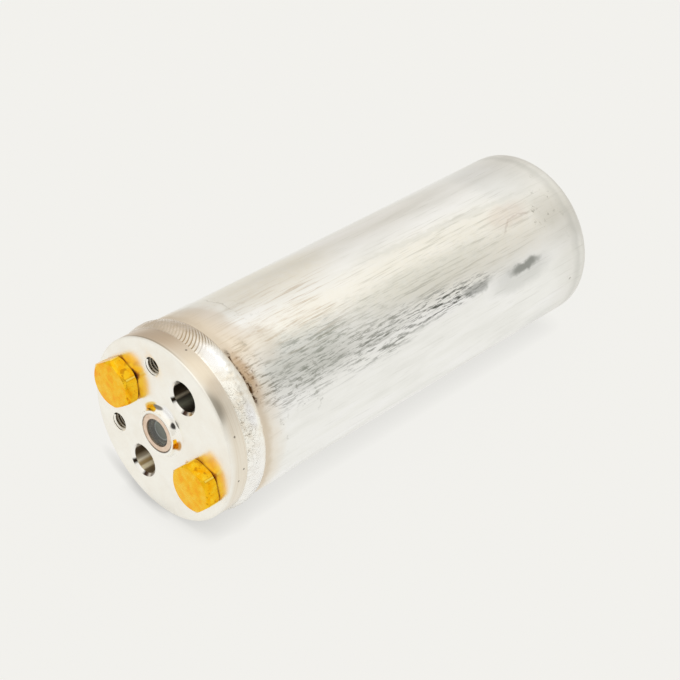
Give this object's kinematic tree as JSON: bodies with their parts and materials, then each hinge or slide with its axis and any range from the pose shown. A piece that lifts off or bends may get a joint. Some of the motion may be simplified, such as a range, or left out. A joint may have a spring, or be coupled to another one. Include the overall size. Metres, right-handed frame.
{
  "type": "receiver drier",
  "caption": "Welded aluminium receiver drier with ports, threaded clamp holes, hex plugs and a sight glass on its header.",
  "frame": {"origin": "centre of the can's flat base", "axes": "+Z along the vessel's axis towards the header's face, +X towards the switch port plug, +Y towards the outlet port"},
  "size_m": [0.0622, 0.0622, 0.1753],
  "materials": {
    "can_aluminium": "drawn aluminium, rubbed and scratched along its length",
    "header_aluminium": "fine turned aluminium, half bright",
    "weld_aluminium": "rippled aluminium weld with brown heat tint",
    "plug_zinc": "steel, zinc plated and yellow passivated",
    "sight_ring_metal": "satin steel with a thin copper coloured plating",
    "sight_glass": "clear grey-green glass",
    "seal_rubber": "dark green nitrile rubber",
    "inner_steel": "plain steel",
    "tube_aluminium": "drawn aluminium tube",
    "filter_felt": "white needled felt",
    "desiccant_beads": "beige molecular sieve beads"
  },
  "bodies": {
    "root": {"can": "can_aluminium", "header": "header_aluminium", "weld_bead": "weld_aluminium", "switch_port_plug": "plug_zinc", "service_port_plug": "plug_zinc", "switch_plug_seal": "seal_rubber", "service_plug_seal": "seal_rubber", "sight_glass": "sight_glass", "sight_glass_ring": "sight_ring_metal", "sight_glass_seal": "seal_rubber", "pickup_tube": "tube_aluminium", "pickup_tube_seal": "seal_rubber", "pickup_strainer": "inner_steel", "lower_plate": "inner_steel", "lower_filter_pad": "filter_felt", "desiccant_bed": "desiccant_beads", "upper_filter_pad": "filter_felt", "upper_plate": "inner_steel", "bed_spring": "inner_steel"}
  },
  "joints": []
}
